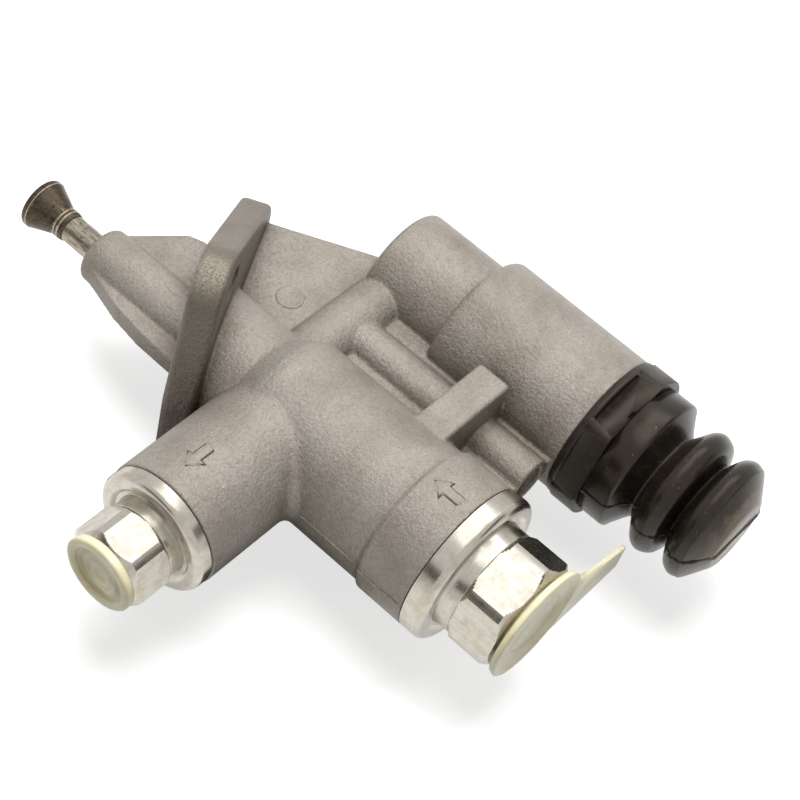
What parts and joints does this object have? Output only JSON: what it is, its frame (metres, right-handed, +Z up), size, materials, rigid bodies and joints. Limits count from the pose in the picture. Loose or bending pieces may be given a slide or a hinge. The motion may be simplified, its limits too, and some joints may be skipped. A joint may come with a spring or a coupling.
{
  "type": "fuel lift pump",
  "caption": "Cam-driven piston fuel lift pump with angled two-bolt flange, hand primer bellows and capped ports.",
  "frame": {"origin": "where the push rod's axis crosses the mounting face of the flange", "axes": "+X along the push rod from the engine to the inlet, +Y towards the hand primer, +Z up, outlet on -Y"},
  "size_m": [0.1898, 0.1464, 0.0704],
  "materials": {
    "cast_body": "die-cast, tumbled",
    "turned_aluminium": "turned and milled",
    "rod_steel": "ground",
    "valve_steel": "turned",
    "spring_steel": "drawn wire",
    "bush_bronze": "bored",
    "piston_aluminium": "turned",
    "ring_rubber": "moulded",
    "boot_rubber": "moulded",
    "collar_plastic": "moulded",
    "plunger_plastic": "moulded",
    "cap_plastic": "moulded"
  },
  "bodies": {
    "casting": {"pump_body": "cast_body", "pushrod_bush": "bush_bronze", "pushrod_seal": "ring_rubber", "seal_retainer": "valve_steel", "inlet_fitting": "turned_aluminium", "inlet_ring": "ring_rubber", "inlet_valve_cage": "valve_steel", "outlet_fitting": "turned_aluminium", "outlet_ring": "ring_rubber", "outlet_valve_cage": "valve_steel", "primer_collar": "collar_plastic", "collar_ring": "ring_rubber", "primer_seal": "ring_rubber", "primer_boot": "boot_rubber", "primer_spring": "spring_steel", "piston_spring": "spring_steel", "inlet_valve_spring": "spring_steel", "outlet_valve_spring": "spring_steel", "transfer_seat": "valve_steel", "transfer_spring": "spring_steel", "gallery_plug": "valve_steel"},
    "rod": {"pushrod": "rod_steel", "pushrod_clip": "spring_steel"},
    "piston": {"pump_piston": "piston_aluminium", "piston_ring": "ring_rubber"},
    "inlet_poppet": {"inlet_valve": "valve_steel"},
    "outlet_poppet": {"outlet_valve": "valve_steel"},
    "ball": {"transfer_ball": "valve_steel"},
    "plunger": {"primer_plunger": "plunger_plastic", "primer_clip": "spring_steel"},
    "inlet_cover": {"inlet_cap": "cap_plastic"},
    "outlet_cover": {"outlet_cap": "cap_plastic"}
  },
  "joints": [
    {"name": "pushrod_slide", "type": "slide", "parent": "casting", "child": "rod", "axis": [1, 0, 0], "range_m": [0, 0.007], "stiffness_N_per_m": 3500, "springref_m": -0.0086, "deforming": ["piston_spring"]},
    {"name": "piston_slide", "type": "slide", "parent": "casting", "child": "piston", "axis": [1, 0, 0], "range_m": [0, 0.007]},
    {"name": "inlet_valve_lift", "type": "slide", "parent": "casting", "child": "inlet_poppet", "axis": [-1, 0, 0], "range_m": [0, 0.0015], "stiffness_N_per_m": 200, "springref_m": -0.005, "deforming": ["inlet_valve_spring"]},
    {"name": "outlet_valve_lift", "type": "slide", "parent": "casting", "child": "outlet_poppet", "axis": [0, -1, 0], "range_m": [0, 0.0015], "stiffness_N_per_m": 200, "springref_m": -0.005, "deforming": ["outlet_valve_spring"]},
    {"name": "transfer_ball_lift", "type": "slide", "parent": "casting", "child": "ball", "axis": [-1, 0, 0], "range_m": [0, 0.0012], "stiffness_N_per_m": 50, "springref_m": -0.004, "deforming": ["transfer_spring"]},
    {"name": "primer_press", "type": "slide", "parent": "casting", "child": "plunger", "axis": [-1, 0, 0], "range_m": [0, 0.01], "stiffness_N_per_m": 800, "springref_m": -0.01, "deforming": ["primer_boot", "primer_spring"]},
    {"name": "inlet_cap_pull", "type": "slide", "parent": "casting", "child": "inlet_cover", "axis": [1, 0, 0], "range_m": [0, 0.02]},
    {"name": "outlet_cap_pull", "type": "slide", "parent": "casting", "child": "outlet_cover", "axis": [0, -1, 0], "range_m": [0, 0.015]}
  ],
  "couplings": [
    {"joint": "piston_slide", "follows": "pushrod_slide", "ratio": 1}
  ]
}
